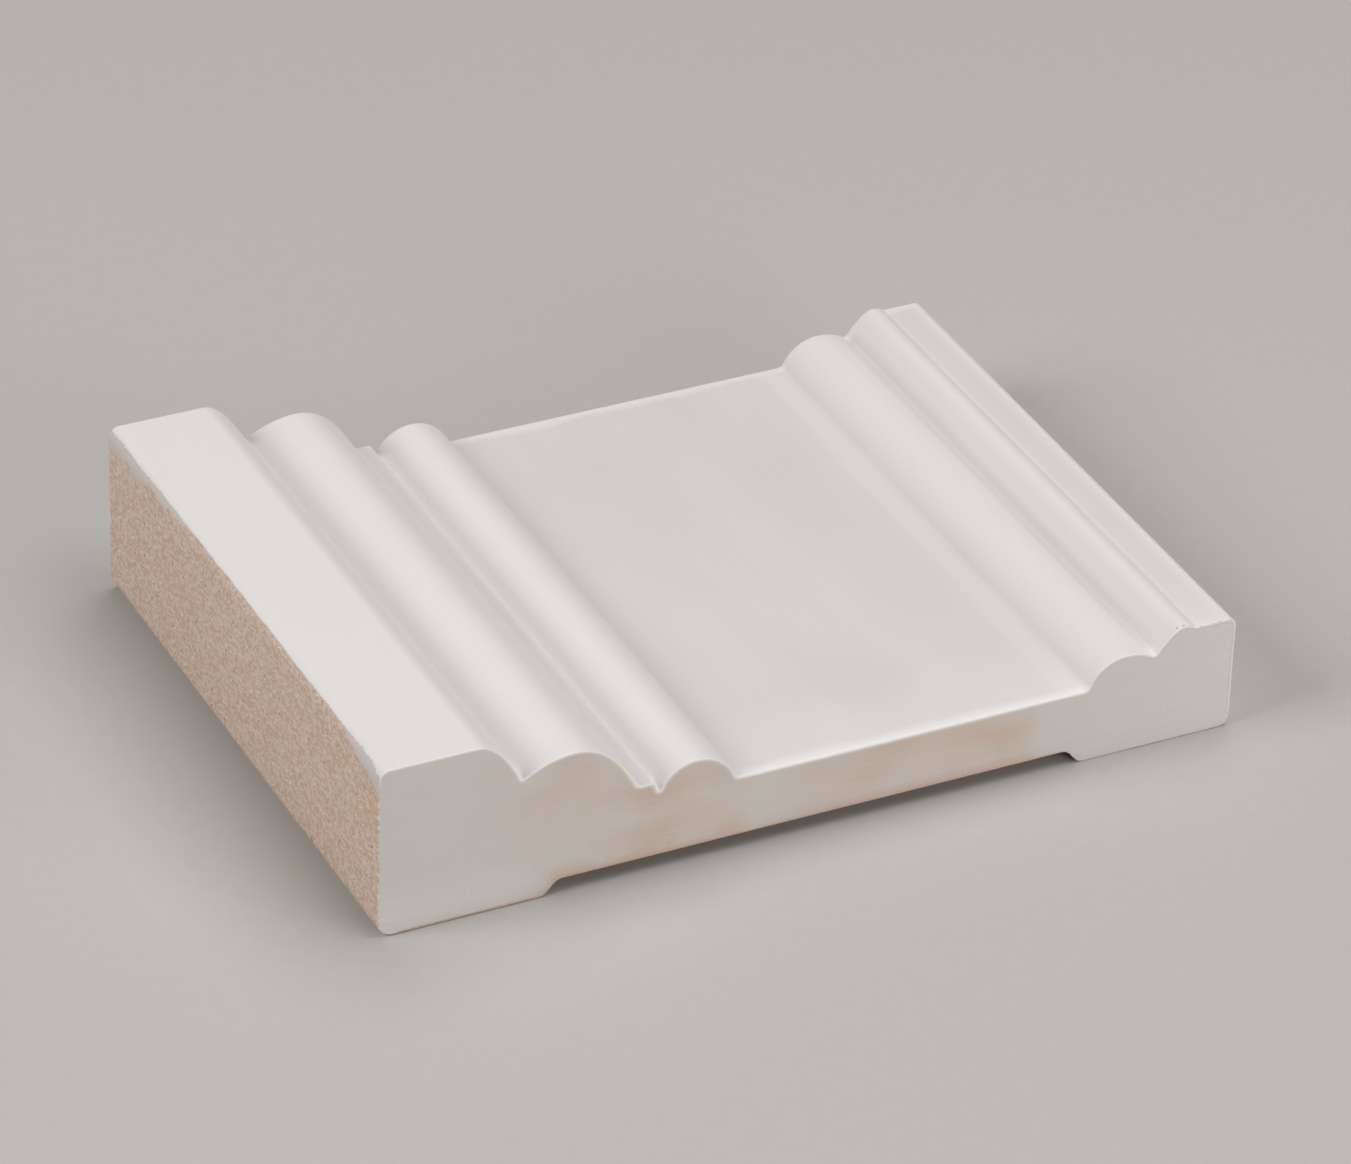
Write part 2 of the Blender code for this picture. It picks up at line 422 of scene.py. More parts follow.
def outer_members(sizes):
    """Members of the face from the outer arris to the foot of the small bead."""
    edge_x = -sizes.width / 2
    fillet_z = sizes.field_thickness + FILLET_RISE
    crown_z = fillet_z + BIG_BEAD_INNER_RISE
    valley_z = crown_z - BIG_BEAD_OUTER_FALL
    band_z = valley_z + OVOLO_RISE
    arris_centre = (edge_x + OUTER_ARRIS_RADIUS, band_z - OUTER_ARRIS_RADIUS)
    band_end = (edge_x + OUTER_BAND_WIDTH, band_z)
    valley = (band_end[0] + OVOLO_WIDTH, valley_z)
    crown = (valley[0] + BIG_BEAD_OUTER_WIDTH, crown_z)
    fillet_start = (crown[0] + BIG_BEAD_INNER_WIDTH, fillet_z)
    fillet_end = (fillet_start[0] + FILLET_WIDTH, fillet_z)
    quirk = (fillet_end[0] + FILLET_QUIRK_SHOULDER, fillet_z - FILLET_QUIRK_DEPTH)

    bead_z = sizes.field_thickness + SMALL_BEAD_RISE - SMALL_BEAD_RADIUS
    quirk_tilt = math.asin((quirk[1] - bead_z) / SMALL_BEAD_RADIUS)
    field_tilt = math.asin((sizes.field_thickness - bead_z) / SMALL_BEAD_RADIUS)
    bead_centre = (quirk[0] + SMALL_BEAD_RADIUS * math.cos(quirk_tilt), bead_z)
    fillet_near, fillet_far = cut_at(line(fillet_start, fillet_end), FILLET_SPLIT)
    # The fillet's far half carries painted shade, against the light its rounded corner catches
    stretches = (
        (FULL_COAT, arc(arris_centre, OUTER_ARRIS_RADIUS, 180, 90, FINE_SPACING)),
        (FULL_COAT, line((arris_centre[0], band_z), band_end)),
        (FULL_COAT, rise_to_crown(valley, band_end, OVOLO_TURN)[::-1]),
        (FULL_COAT, rise_to_crown(valley, crown, BIG_BEAD_OUTER_TURN)),
        (FULL_COAT, rise_to_crown(fillet_start, crown, BIG_BEAD_INNER_TURN)[::-1]),
        (FULL_COAT, fillet_near),
        (FILLET_SHADED_COAT, fillet_far),
        (FULL_COAT, line(fillet_end, quirk)),
        (FULL_COAT, arc(bead_centre, SMALL_BEAD_RADIUS, 180 - math.degrees(quirk_tilt),
                        math.degrees(field_tilt))),
    )
    return [Member("face", coat, points) for coat, points in stretches]


def inner_members(sizes):
    """Members of the face from the foot of the inner bead to the inner arris."""
    edge_x = sizes.width / 2
    crown_z = sizes.field_thickness + INNER_BEAD_RISE
    valley_z = crown_z - INNER_BEAD_FALL
    lip_z = valley_z + NOSING_RISE
    land_z = lip_z - NOSING_LIP_FALL
    land_start = (edge_x - INNER_LAND_WIDTH, land_z)
    quirk = (land_start[0] - LAND_QUIRK_WIDTH, land_z)
    lip = (quirk[0] - NOSING_LIP_WIDTH, lip_z)
    valley = (lip[0] - NOSING_WIDTH, valley_z)
    crown = (valley[0] - INNER_BEAD_FALL_WIDTH, crown_z)

    bead_centre = (crown[0], crown_z - INNER_BEAD_RADIUS)
    reach = INNER_BEAD_RADIUS + INNER_BEAD_FOOT_RADIUS
    hollow_z = sizes.field_thickness + INNER_BEAD_FOOT_RADIUS
    tilt = math.asin((hollow_z - bead_centre[1]) / reach)
    hollow_centre = (bead_centre[0] - reach * math.cos(tilt), hollow_z)
    tilt_degrees = math.degrees(tilt)
    arris_centre = (edge_x - INNER_ARRIS_RADIUS, land_z - INNER_ARRIS_RADIUS)
    foot = (hollow_centre[0], sizes.field_thickness)
    fall_corner = (crown[0] + INNER_BEAD_FALL_WIDTH / 2, crown_z)
    fall, dip = cut_at(sweep(crown, fall_corner, valley), FALL_SPLIT)
    rise, nosing = cut_at(rise_to_crown(valley, lip, NOSING_TURN, FINE_SPACING), RISE_SPLIT)
    # Painted shade through the coat shares: a lighter strip of field beside the bead, then the
    # hollow at its foot, the nosing's valley and the inner land greyer, and the land's quirk a
    # flat line painted dark in place of a groove's shadow
    stretches = (
        (STRIP_SHADED_COAT, line((foot[0] - STRIP_WIDTH, foot[1]), foot)),
        (HOLLOW_SHADED_COAT, arc(hollow_centre, INNER_BEAD_FOOT_RADIUS, -90, -tilt_degrees)),
        (FULL_COAT, arc(bead_centre, INNER_BEAD_RADIUS, 180 - tilt_degrees, 90)),
        (FULL_COAT, fall),
        (VALLEY_SHADED_COAT, dip),
        (VALLEY_SHADED_COAT, rise),
        (FULL_COAT, nosing),
        (FULL_COAT, sweep(lip, (lip[0] + NOSING_LIP_WIDTH / 2, lip_z), quirk, FINE_SPACING)),
        (VALLEY_SHADED_COAT, line(quirk, land_start)),
        (LAND_SHADED_COAT, line(land_start, (arris_centre[0], land_z))),
        (FULL_COAT, arc(arris_centre, INNER_ARRIS_RADIUS, 90, 0, FINE_SPACING)),
    )
    return [Member("face", coat, points) for coat, points in stretches]


def back_members(sizes):
    """Members of the back, from the foot of the inner edge to the foot of the outer edge."""
    edge_x = sizes.width / 2
    inner_end = edge_x - INNER_BACK_LAND_WIDTH
    outer_end = -edge_x + OUTER_BACK_LAND_WIDTH
    inner_shoulder = (inner_end - BACK_SHOULDER_WIDTH, BACK_RELIEF_DEPTH)
    outer_shoulder = (outer_end + BACK_SHOULDER_WIDTH, BACK_RELIEF_DEPTH)
    inner_arris = (edge_x - INNER_BACK_ARRIS_RADIUS, INNER_BACK_ARRIS_RADIUS)
    outer_arris = (-edge_x + OUTER_BACK_ARRIS_RADIUS, OUTER_BACK_ARRIS_RADIUS)
    shapes = [
        arc(inner_arris, INNER_BACK_ARRIS_RADIUS, 0, -90, FINE_SPACING),
        line((inner_arris[0], 0.0), (inner_end, 0.0)),
        line((inner_end, 0.0), inner_shoulder),
        line(inner_shoulder, outer_shoulder),
        line(outer_shoulder, (outer_end, 0.0)),
        line((outer_end, 0.0), (outer_arris[0], 0.0)),
    ]
    arris = arc(outer_arris, OUTER_BACK_ARRIS_RADIUS, -90, -180, FINE_SPACING)
    return [*(Member("back", NO_COAT, points) for points in shapes),
            Member("edge", NO_COAT, arris)]


def path_length(points):
    return sum(math.dist(a, b) for a, b in zip(points, points[1:]))


def trim_start(points, reach):
    """The stretch without its first part of this length."""
    walked = 0.0
    for place, (a, b) in enumerate(zip(points, points[1:])):
        step = math.dist(a, b)
        if walked + step > reach:
            share = (reach - walked) / step
            cut = (a[0] + (b[0] - a[0]) * share, a[1] + (b[1] - a[1]) * share)
            return [cut] + points[place + 1:]
        walked += step
    return points[-2:]


def turn_degrees(before, after):
    """How sharply the outline turns where one stretch meets the next."""
    first = Vector(before[-1]) - Vector(before[-2])
    second = Vector(after[1]) - Vector(after[0])
    return abs(math.degrees(first.angle_signed(second)))


def section(sizes):
    """Closed outline of the painted casing, with each sharp corner rounded by the primer."""
    outer, inner, back = outer_members(sizes), inner_members(sizes), back_members(sizes)
    members = [Member("edge", NO_COAT, line(back[-1].points[-1], outer[0].points[0]))]
    members += outer
    # The wide field carries painted shade, as if the raised groups on each side shaded it
    members.append(Member("face", FIELD_SHADED_COAT, line(outer[-1].points[-1], inner[0].points[0])))
    members += inner
    members.append(Member("face", FULL_COAT, line(inner[-1].points[-1], back[0].points[0])))
    members += back

    following = members[1:] + members[:1]
    reaches = []
    for member, after in zip(members, following):
        corner = turn_degrees(member.points, after.points) > CORNER_DEGREES
        shortest = min(path_length(member.points), path_length(after.points))
        reaches.append(min(sizes.primer_fill, CORNER_SHARE * shortest) if corner else 0.0)

    outline = []
    for place, (member, after) in enumerate(zip(members, following)):
        kept = member.points
        if reaches[place - 1]:
            kept = trim_start(kept, reaches[place - 1])
        if reaches[place]:
            kept = trim_start(kept[::-1], reaches[place])[::-1]
            next_start = trim_start(after.points, reaches[place])[0]
            kept = kept + sweep(kept[-1], member.points[-1], next_start, steps=CORNER_STEPS)[1:]
        outline += [Spot(x, z, member.finish, member.coat) for x, z in kept[:-1]]
    return outline


class Outline:
    """The section's points with what the mesh needs to know about each of them."""

    def __init__(self, sizes):
        self.spots = section(sizes)
        self.points = np.array([(spot.x, spot.z) for spot in self.spots])
        ahead, behind = np.roll(self.points, -1, axis=0), np.roll(self.points, 1, axis=0)
        along = ahead - behind
        along /= np.linalg.norm(along, axis=1)[:, None]
        self.normals = np.stack((-along[:, 1], along[:, 0]), axis=1)
        steps = np.linalg.norm(ahead - self.points, axis=1)
        self.run = np.concatenate(([0.0], np.cumsum(steps)[:-1]))
        self.whole = float(steps.sum())
        self.spread = steps + np.roll(steps, 1)
        # Coat share along the outline, each member's painted shade blurred into the next
        self.coat = self.blurred(np.array([spot.coat for spot in self.spots]), COAT_SHADE_BLEND)
        self.hollow = self.hollowness(HOLLOW_REACH)
        pooled = np.stack([self.blurred(axis, POOL_REACH) for axis in self.points.T], axis=1)
        quirk = 1 - np.exp(-POOL_STRENGTH * self.blurred(self.hollow, POOL_REACH / 2))
        self.pool = (pooled - self.points) * quirk[:, None]
        self.top_z = float(self.points[:, 1].max())

    def blurred(self, values, reach):
        """Values averaged along the outline with a bell of this width."""
        apart = np.abs(self.run[:, None] - self.run[None, :])
        apart = np.minimum(apart, self.whole - apart)
        weights = np.exp(-(apart / reach) ** 2) * self.spread
        return weights @ values / weights.sum(axis=1)

    def hollowness(self, reach):
        """From 0 on flats and rounds to 1 at the bottom of a sharp quirk."""
        turned = []
        count = len(self.points)
        for place in range(count):
            back, ahead = place, place
            while self.run_between(back, place) < reach:
                back = (back - 1) % count
            while self.run_between(place, ahead) < reach:
                ahead = (ahead + 1) % count
            first = Vector(self.points[place]) - Vector(self.points[back])
            second = Vector(self.points[ahead]) - Vector(self.points[place])
            turned.append(max(0.0, -first.angle_signed(second)))
        return np.clip(np.array(turned) / math.radians(HOLLOW_DEGREES) - 1.0, 0.0, 1.0)

    def run_between(self, first, second):
        return (self.run[second] - self.run[first]) % self.whole

    def side(self, up):
        """Points that face up, for 1, or down, for -1, in order across the width."""
        return sorted(map(tuple, self.points[self.normals[:, 1] * up > FACING]))


def smooth_step(value):
    share = min(1.0, max(0.0, value))
    return share * share * (3 - 2 * share)


def wander(y, length, seed):
    """A smooth random walk along the length, between -1 and 1."""
    return noise.noise(Vector((y / length, seed, 0.3 * seed)))


def lap_at(x, y, z, sizes, top_z):
    """How far a point lies past the primer's edge on the outer arris, and the haze there."""
    around = (top_z - z) - (x + sizes.width / 2)
    from_front, from_rear = sizes.length / 2 + y, sizes.length / 2 - y
    front = smooth_step(1 - from_front / FRONT_HAZE_LENGTH)
    rear = max(0.0, 1 - from_rear / REAR_HAZE_LENGTH)
    ripple = LAP_RIPPLE * wander(y, FLAKE_LENGTH, RIPPLE_SEED)
    edge = LAP_MIDDLE + LAP_WANDER * (wander(y, LAP_WAVE, WAVE_SEED) + ripple)
    edge += FRONT_LAP * smooth_step(1 - from_front / FRONT_LAP_LENGTH)
    flakes = FLAKE_SWING + FLAKE_SWING * wander(y, FLAKE_LENGTH, FLAKE_SEED)
    haze = HAZE * (HAZE_SWING + HAZE_SWING * wander(y, FLAKE_LENGTH, HAZE_SEED))
    haze += FRONT_HAZE * front + REAR_HAZE * rear * max(LEAST_FLAKES, flakes)
    return around - edge, max(LEAST_HAZE, haze)


def nearest_distance(points, path):
    """Distance from each point to an open path."""
    starts, ends = path[:-1], path[1:]
    along = ends - starts
    best = np.full(len(points), np.inf)
    for start, step in zip(starts, along):
        share = np.clip((points - start) @ step / max(step @ step, NO_LENGTH ** 2), 0.0, 1.0)
        gap = np.linalg.norm(points - (start + share[:, None] * step), axis=1)
        best = np.minimum(best, gap)
    return best


def height_at(path, x):
    """Height of a path that runs across the width, at one x."""
    xs = [point[0] for point in path]
    place = min(max(1, bisect(xs, x)), len(path) - 1)
    (x0, z0), (x1, z1) = path[place - 1], path[place]
    return z0 + (z1 - z0) * (x - x0) / max(x1 - x0, NO_LENGTH)


def end_faces(rim, outline, sizes):
    """Inner points and triangles that close a sawn end, finest beside its rim."""
    face, back = outline.side(1), outline.side(-1)
    edge_x = sizes.width / 2
    columns = round(2 * edge_x / END_COLUMN)
    shares = [(column + 0.5) / columns for column in range(columns)]
    inner = []
    for x in [-edge_x + 2 * edge_x * share for share in shares]:
        top, bottom = height_at(face, x), height_at(back, x)
        margin = END_COLUMN
        z = top - margin
        while z > bottom + END_CLEARANCE:
            inner.append((x, z))
            margin *= END_ROW_GROWTH
            z -= min(margin, END_ROW_LIMIT)
    inner = [point for point in inner if abs(point[0]) < edge_x - END_CLEARANCE]
    points = [Vector(point) for point in [*map(tuple, rim), *inner]]
    rim_places = list(range(len(rim)))
    edges = [(place, (place + 1) % len(rim)) for place in rim_places]
    verts, _, faces, origins, _, _ = delaunay_2d_cdt(
        points, edges, [rim_places], TRIANGLES_INSIDE, NO_LENGTH)
    if len(verts) != len(points):
        raise RuntimeError("the sawn end's outline crosses itself")
    triangles = []
    for triangle in faces:
        a, b, c = (points[origins[corner][0]] for corner in triangle)
        order = triangle if (b - a).cross(c - a) > 0 else triangle[::-1]
        triangles.append([origins[corner][0] for corner in order])
    return np.array(inner), triangles


def arris_rings(widths, drops):
    """Rings from a sawn end to where the section is whole, as (distance from the end, inset)."""
    rings = []
    for step in range(ARRIS_STEPS + 1):
        angle = math.radians(90 * step / ARRIS_STEPS)
        rings.append((widths * (1 - math.cos(angle)), drops * (1 - math.sin(angle))))
    fine = round(END_STRETCH / END_SPACING)
    for step in range(1, fine + 1):
        rings.append((widths + (END_STRETCH - widths) * step / fine, np.zeros(len(widths))))
    return rings


def ring_places(outline, sizes):
    """Rings from the front end to the rear one, each as (y, inset) for every outline point."""
    half = sizes.length / 2
    none = np.zeros(len(outline.spots))
    rings = [(away - half, inset) for away, inset in arris_rings(*end_arris(outline, sizes, True))]
    span = sizes.length - 2 * END_STRETCH
    middle = round(span / LENGTH_SPACING)
    for step in range(1, middle):
        rings.append((none - half + END_STRETCH + span * step / middle, none))
    rear = arris_rings(*end_arris(outline, sizes, False))
    return rings + [(half - away, inset) for away, inset in rear[::-1]]


def end_arris(outline, sizes, front):
    """Width along the length, and drop at the end, of a sawn end's arris at each point."""
    widths, drops = [], []
    for spot, hollow in zip(outline.spots, outline.blurred(outline.hollow, HOLLOW_BLEND)):
        lumps = 1 + LUMP_SHARE * noise.noise(Vector((spot.x, spot.z, 0.0)) / LUMP_SIZE)
        drop = sizes.bare_arris
        if spot.finish == "face":
            drop = sizes.primed_arris * lumps
            drop += (sizes.pooled_arris - sizes.primed_arris) * hollow
        on_field = abs(spot.z - sizes.field_thickness) < INNER_BEAD_FOOT_RADIUS
        lip = LIP_DROPS.get(spot.coat) if front and on_field else None
        widths.append(LIP_WIDTH * lumps if lip else drop)
        drops.append(lip or drop)
    return [outline.blurred(np.array(values), ARRIS_BLEND) for values in (widths, drops)]


def skin_marks(point, coat, outline, dents, sizes):
    """What the primer does at a point of the skin: its coat, lap, haze, wear, dust and dents."""
    x, y, z = point
    from_front = y + sizes.length / 2
    from_end = min(from_front, sizes.length / 2 - y)
    swing = FAT_EDGE_SWING * noise.noise(Vector((x / FAT_EDGE_WAVE, FAT_EDGE_SEED, 0.0)))
    fat_edge = FAT_EDGE * (1 + swing)
    cloud_place = Vector((x, CLOUD_SQUEEZE * y, CLOUD_SEED)) / CLOUD_LENGTH
    cloud = noise.fractal(cloud_place, *CLOUD_NOISE)
    # Painted light towards the front end, and no painted shade in the full coat along both sawn
    # ends; the clouds are random tone
    thin = 1 - FRONT_PAINTED_LIGHT * smooth_step(1 - from_front / FRONT_PAINTED_LIGHT_LENGTH)
    thin *= smooth_step(from_end / fat_edge - FAT_EDGE_START)
    coat = 1 - (1 - coat + CLOUD_DEPTH * cloud) * thin

    lap, haze = lap_at(x, y, z, sizes, outline.top_z)
    worn = 0.0
    if x > sizes.width / 2 - WORN_WIDTH and z > sizes.field_thickness:
        worn = WORN_EDGE * smooth_step(1 - from_front / WORN_LENGTH)
    dented = max(math.exp(-((point - centre).length / radius) ** 2) for centre, radius in dents)
    dusted = smooth_step(1 - from_front / DUST_LENGTH) * (1 - z / (DUST_WIDTHS * sizes.width))
    return {"coat": coat, "lap": lap / MM, "haze": haze / MM, "worn": max(worn, dented),
            "dusted": dusted, "dented": dented}


def end_marks(rim, inner, outline):
    """How the overspray lies on a sawn end: board showing, heavy dust and distances in mm."""
    places = np.concatenate((rim, inner))
    x_mm = places[:, 0] / MM
    finishes = np.array([spot.finish for spot in outline.spots])
    from_face = nearest_distance(places, rim[finishes == "face"]) / MM
    from_bare = nearest_distance(places, rim[finishes == "back"]) / MM
    from_bare += np.interp(x_mm, BACK_LINE_END, (0.0, 1.0))
    showing = np.interp(x_mm, *np.array(BARE_SHARES).T)
    wide, high = END_CLOUD
    clouds = np.array([noise.noise(Vector((x / wide, END_CLOUD_SEED, z / high)))
                       for x, z in places])
    depth = np.interp(from_face, UNDER_FACE, (1.0, UNDER_FACE_SHARE))
    heavy = np.interp(x_mm, *np.array(HEAVY_SHARES).T)
    raised = np.clip(places[:, 1] / FOOT_DUST_HEIGHT, 0, 1)
    heavy -= np.where(x_mm < 0, raised ** 3 * FOOT_DUST_FADE, 0)
    beside_relief = np.interp(from_bare, RELIEF_BAND, (RELIEF_SHOWING, 0.0))
    beside_relief *= np.minimum(1, 2 * showing)
    showing = np.maximum(showing * depth * (1 + END_CLOUD_DEPTH * clouds), beside_relief)
    return {"showing": showing, "heavy": heavy, "from_face": from_face, "from_bare": from_bare}


def casing_mesh(sizes):
    """The casing's skin: the section carried along the length, with eased and worn sawn ends."""
    outline = Outline(sizes)
    rings = ring_places(outline, sizes)
    dents = [dent_place(dent, outline, sizes) for dent in DENTS]
    count = len(outline.spots)

    verts, marks = [], []
    for ys, insets in rings:
        for place, spot in enumerate(outline.spots):
            point = Vector((spot.x, ys[place], spot.z))
            mark = skin_marks(point, outline.coat[place], outline, dents, sizes)
            inset = insets[place] + DENT_DEPTH * mark["dented"]
            inset += sizes.primer_step * smooth_step(mark["lap"] / LAP_RAMP - LAP_RAMP_START)
            pooled = smooth_step((sizes.length / 2 - abs(point.y)) / POOL_START)
            shift = outline.pool[place] * pooled - outline.normals[place] * inset
            verts.append((point.x + shift[0], point.y, point.z + shift[1]))
            marks.append(mark)

    faces, finishes = [], []
    for start in range(0, (len(rings) - 1) * count, count):
        for place, spot in enumerate(outline.spots):
            following = (place + 1) % count
            faces.append((start + place, start + following,
                          start + count + following, start + count + place))
            finishes.append(SLOTS[spot.finish])

    for first, y in ((0, -sizes.length / 2), (len(verts) - count, sizes.length / 2)):
        rim = np.array([(x, z) for x, _, z in verts[first:first + count]])
        inner, triangles = end_faces(rim, outline, sizes)
        corners = [*range(first, first + count), *range(len(verts), len(verts) + len(inner))]
        verts += [(x, y, z) for x, z in inner]
        marks += [{} for _ in inner]
        end = end_marks(rim, inner, outline)
        for place, corner in enumerate(corners):
            marks[corner].update((name, values[place]) for name, values in end.items())
        for triangle in triangles:
            face = tuple(corners[place] for place in triangle)
            faces.append(face if y < 0 else face[::-1])
            finishes.append(SLOTS["end"])

    mesh = bpy.data.meshes.new("primed_casing")
    mesh.from_pydata(verts, [], faces)
    mesh.polygons.foreach_set("material_index", finishes)
    mesh.shade_smooth()
    for name in MARKS:
        values = [float(mark.get(name, 0.0)) for mark in marks]
        mesh.attributes.new(name, "FLOAT", "POINT").data.foreach_set("value", values)
    if mesh.validate():
        raise RuntimeError("the casing's mesh has faulty faces")
    return mesh


def dent_place(dent, outline, sizes):
    """Where a dent lies on the face, from its x and its distance from the front end."""
    x, from_end, radius = (value * MM for value in dent)
    z = height_at(outline.side(1), x)
    return Vector((x, -sizes.length / 2 + from_end, z)), radius


def add_node(tree, kind, inputs=None, output=0, **settings):
    """Adds a node with its settings, sets or links its inputs, and gives back one output."""
    node = tree.nodes.new("ShaderNode" + kind)
    for name, value in settings.items():
        setattr(node, name, value)
    for key, value in (inputs or {}).items():
        if isinstance(value, bpy.types.NodeSocket):
            tree.links.new(value, node.inputs[key])
        else:
            node.inputs[key].default_value = value
    return node.outputs[output] if node.outputs else None


def new_material(name):
    """An empty material, the call that adds its nodes, and the place on the casing."""
    material = bpy.data.materials.new(name)
    material.use_nodes = True
    material.node_tree.nodes.clear()
    add = partial(add_node, material.node_tree)
    return material, add, add("TexCoord", output="Object")


def lay_over(add, under, *coats):
    """Colour with others laid over it, each showing more as its pattern goes from low to high."""
    for pattern, low, high, colour in coats:
        share = add("MapRange", {"Value": pattern, "From Min": low, "From Max": high},
                    interpolation_type="SMOOTHSTEP")
        under = add("Mix", {0: share, 6: under, 7: colour}, output=2, data_type="RGBA")
    return under


def finish_shader(add, colour, roughness, relief, depth):
    """The surface: its colour, its roughness, and relief of this depth in metres."""
    bump = add("Bump", {"Strength": 1.0, "Distance": depth, "Height": relief})
    shader = add("BsdfPrincipled", {"Base Color": colour, "Roughness": roughness,
                                    "IOR": MATT_IOR, "Normal": bump})
    add("OutputMaterial", {"Surface": shader})


def bare_board(add, place, finish):
    """Colour and relief of bare fibreboard, whose fibre bundles lie along the length.

    The bundles are about 0.3 mm wide and 0.5 mm long, in faint patches of 1.5 by 3 mm, with
    loose pale fibres over them and specks of bark 0.3 mm across, one in every 30 square
    millimetres or so.
    """
    fibres = add("Mapping", {"Vector": place, "Scale": (MM, FIBRE_STRETCH * MM, MM)},
                 vector_type="TEXTURE")
    patches = add("TexNoise", {"Vector": fibres, "Scale": 1 / FIBRE_PATCH, "Detail": 2.0})
    bundles = add("TexNoise", {"Vector": fibres, "Scale": 1 / FIBRE_BUNDLE, "Detail": 2.0})
    loose = add("TexNoise", {"Vector": fibres, "Scale": 1 / LOOSE_FIBRE, "Detail": 2.0})
    bark = add("TexVoronoi", {"Vector": place, "Scale": 1 / (BARK_SPACING * MM)},
               output="Distance")
    shade = add("Mix", {0: 0.9, 2: patches, 3: bundles})
    colour = lay_over(add, finish.board_dark, (shade, 0.46, 0.54, finish.board),
                      (loose, 0.59, 0.65, finish.board_pale), (loose, 0.68, 0.72, finish.fleck),
                      (bark, 0.095, 0.07, finish.speck))
    return colour, add("Math", {0: shade, 1: loose}, operation="ADD")


def broken_lap(add, place):
    """How far primer is thinned past its broken edge: over 0 it hazes, over 1 it is gone."""
    lap, haze = (add("Attribute", output="Fac", attribute_name=name) for name in ("lap", "haze"))
    ragged = add("TexNoise", {"Vector": place, "Scale": 1 / (LAP_TEETH * MM), "Detail": 3.0,
                              "Roughness": 0.7})
    ragged = add("Math", {0: ragged, 1: NOISE_MEAN}, operation="SUBTRACT")
    swing = add("Math", {0: haze, 1: 0.8, 2: 0.4}, operation="MULTIPLY_ADD")
    lap = add("Math", {0: ragged, 1: swing, 2: lap}, operation="MULTIPLY_ADD")
    return add("Math", {0: lap, 1: haze}, operation="DIVIDE")


def fading_primer(thinned, board, finish):
    """Layers over full primer, where it thins out to haze and then to bare board."""
    return (thinned, -0.05, 0.1, finish.primer_haze), (thinned, 0.8, 1.2, board)


def sprayed_primer(finish):
    """White water-based primer, sprayed on milled fibreboard and lightly sanded.

    It gives a soft matt white, a little greyer in random clouds and with painted shade on the
    recessed field, the hollows, the valleys and the inner land, with a fine orange peel of about
    0.8 mm and faint lines along the length where the cutters left fibres standing. It is rubbed
    through in dots along the front end of the thin edge.
    """
    material, add, place = new_material("sprayed_primer_on_mdf")
    coat, worn = (add("Attribute", output="Fac", attribute_name=name) for name in ("coat", "worn"))
    along = add("Mapping", {"Vector": place, "Scale": (MM, PRIMER_LINE_STRETCH * MM, MM)},
                vector_type="TEXTURE")
    lines = add("TexNoise", {"Vector": along, "Scale": 1 / PRIMER_LINE, "Detail": 2.0})
    peel = add("TexNoise", {"Vector": place, "Scale": 1 / (PRIMER_PEEL * MM), "Detail": 2.0})
    dots = add("TexNoise", {"Vector": place, "Scale": 1 / (WORN_DOTS * MM), "Detail": 2.0})

    # Greyer where the coat share is low: painted shade, with the cutter lines over it
    sanded = add("Math", {0: 1.0, 1: coat}, operation="SUBTRACT")
    sanded = add("Math", {0: lines, 1: 0.15, 2: sanded}, operation="MULTIPLY_ADD")
    board, _ = bare_board(add, place, finish)
    thinned = broken_lap(add, place)
    rubbed = add("Math", {0: dots, 1: worn}, operation="ADD")
    colour = lay_over(add, finish.primer, (sanded, 0.03, 1.13, finish.primer_thin_and_shaded),
                      *fading_primer(thinned, board, finish),
                      (rubbed, 1.0, 1.06, finish.board_dark), (worn, 0.5, 0.75, finish.speck))

    gone = add("MapRange", {"Value": thinned, "From Min": 0.6, "From Max": 1.4})
    relief = add("Mix", {0: 0.6, 2: lines, 3: peel})
    relief = add("Math", {0: relief, 1: gone}, operation="SUBTRACT")
    roughness = add("MapRange", {"Value": sanded, "To Min": 0.52, "To Max": 0.62})
    finish_shader(add, colour, roughness, relief, 0.012 * MM)
    return material


def sanded_edge(finish):
    """Medium density fibreboard, ripped to width and belt-sanded, left bare.

    It gives a dull pinkish brown with darker and paler fibres dragged along the length by the
    belt, near-white flecks and a few dark specks of bark. Primer dust hangs on its front arris.
    """
    material, add, place = new_material("belt_sanded_mdf_edge")
    board, relief = bare_board(add, place, finish)
    dusted = add("Attribute", output="Fac", attribute_name="dusted")
    dust = add("TexNoise", {"Vector": place, "Scale": 1 / (DUST_GRAIN * MM), "Detail": 3.0})
    dust = add("Math", {0: dusted, 1: dust}, operation="MULTIPLY")
    thinned = broken_lap(add, place)
    colour = lay_over(add, finish.primer, *fading_primer(thinned, board, finish),
                      (dust, 0.52, 0.58, finish.overspray_pale))
    finish_shader(add, colour, 0.85, relief, 0.012 * MM)
    return material


